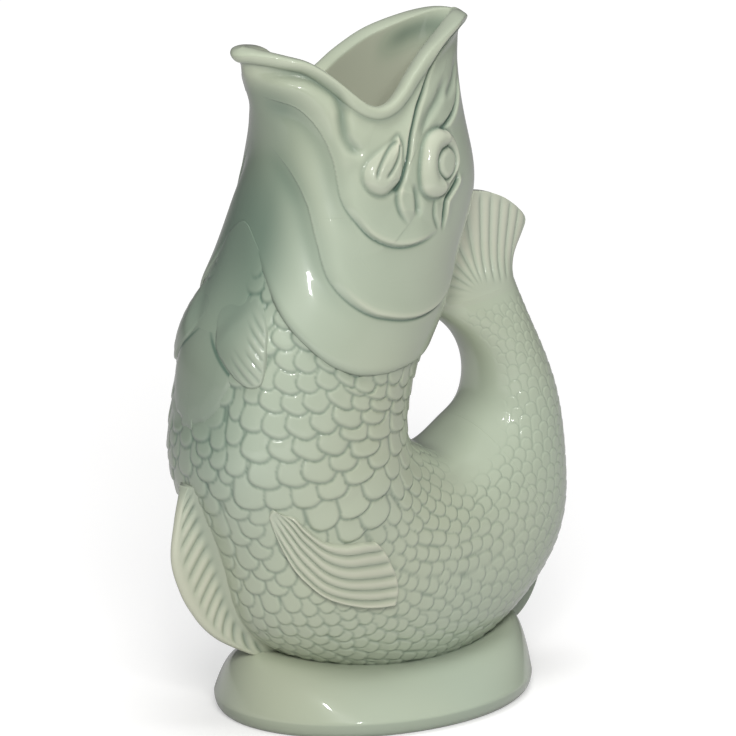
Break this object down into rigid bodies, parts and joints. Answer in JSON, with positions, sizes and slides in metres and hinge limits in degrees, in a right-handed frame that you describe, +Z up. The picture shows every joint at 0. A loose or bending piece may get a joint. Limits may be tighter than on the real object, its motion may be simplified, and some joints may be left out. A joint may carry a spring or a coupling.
{
  "type": "gurgle jug",
  "caption": "Glazed ceramic jug shaped as an upright fish, pouring from its open mouth, with its curled hollow tail as the handle, on a flared oval foot.",
  "frame": {"origin": "centre of the foot's flat underside ring, on the plane that the jug stands on", "axes": "+Z up from the foot to the mouth; -X towards the lower lip that pours, +X towards the tail handle; the near side of the picture is -Y"},
  "size_m": [0.1674, 0.0968, 0.2503],
  "materials": {
    "body_glaze": "gloss",
    "raised_glaze": "gloss"
  },
  "bodies": {
    "root": {"foot_plinth": "body_glaze", "belly_base": "body_glaze", "belly_shell": "body_glaze", "head_shell": "body_glaze", "tail_tube": "body_glaze", "tail_fan": "raised_glaze", "keel_fin": "raised_glaze", "rear_web": "body_glaze", "pectoral_fin_left": "raised_glaze", "pectoral_fin_right": "raised_glaze", "pelvic_fin_left": "raised_glaze", "pelvic_fin_right": "raised_glaze", "eye_left": "raised_glaze", "eye_right": "raised_glaze", "jaw_leaf_left": "raised_glaze", "jaw_leaf_right": "raised_glaze", "cheek_plate_left": "body_glaze", "cheek_plate_right": "body_glaze"}
  },
  "joints": []
}
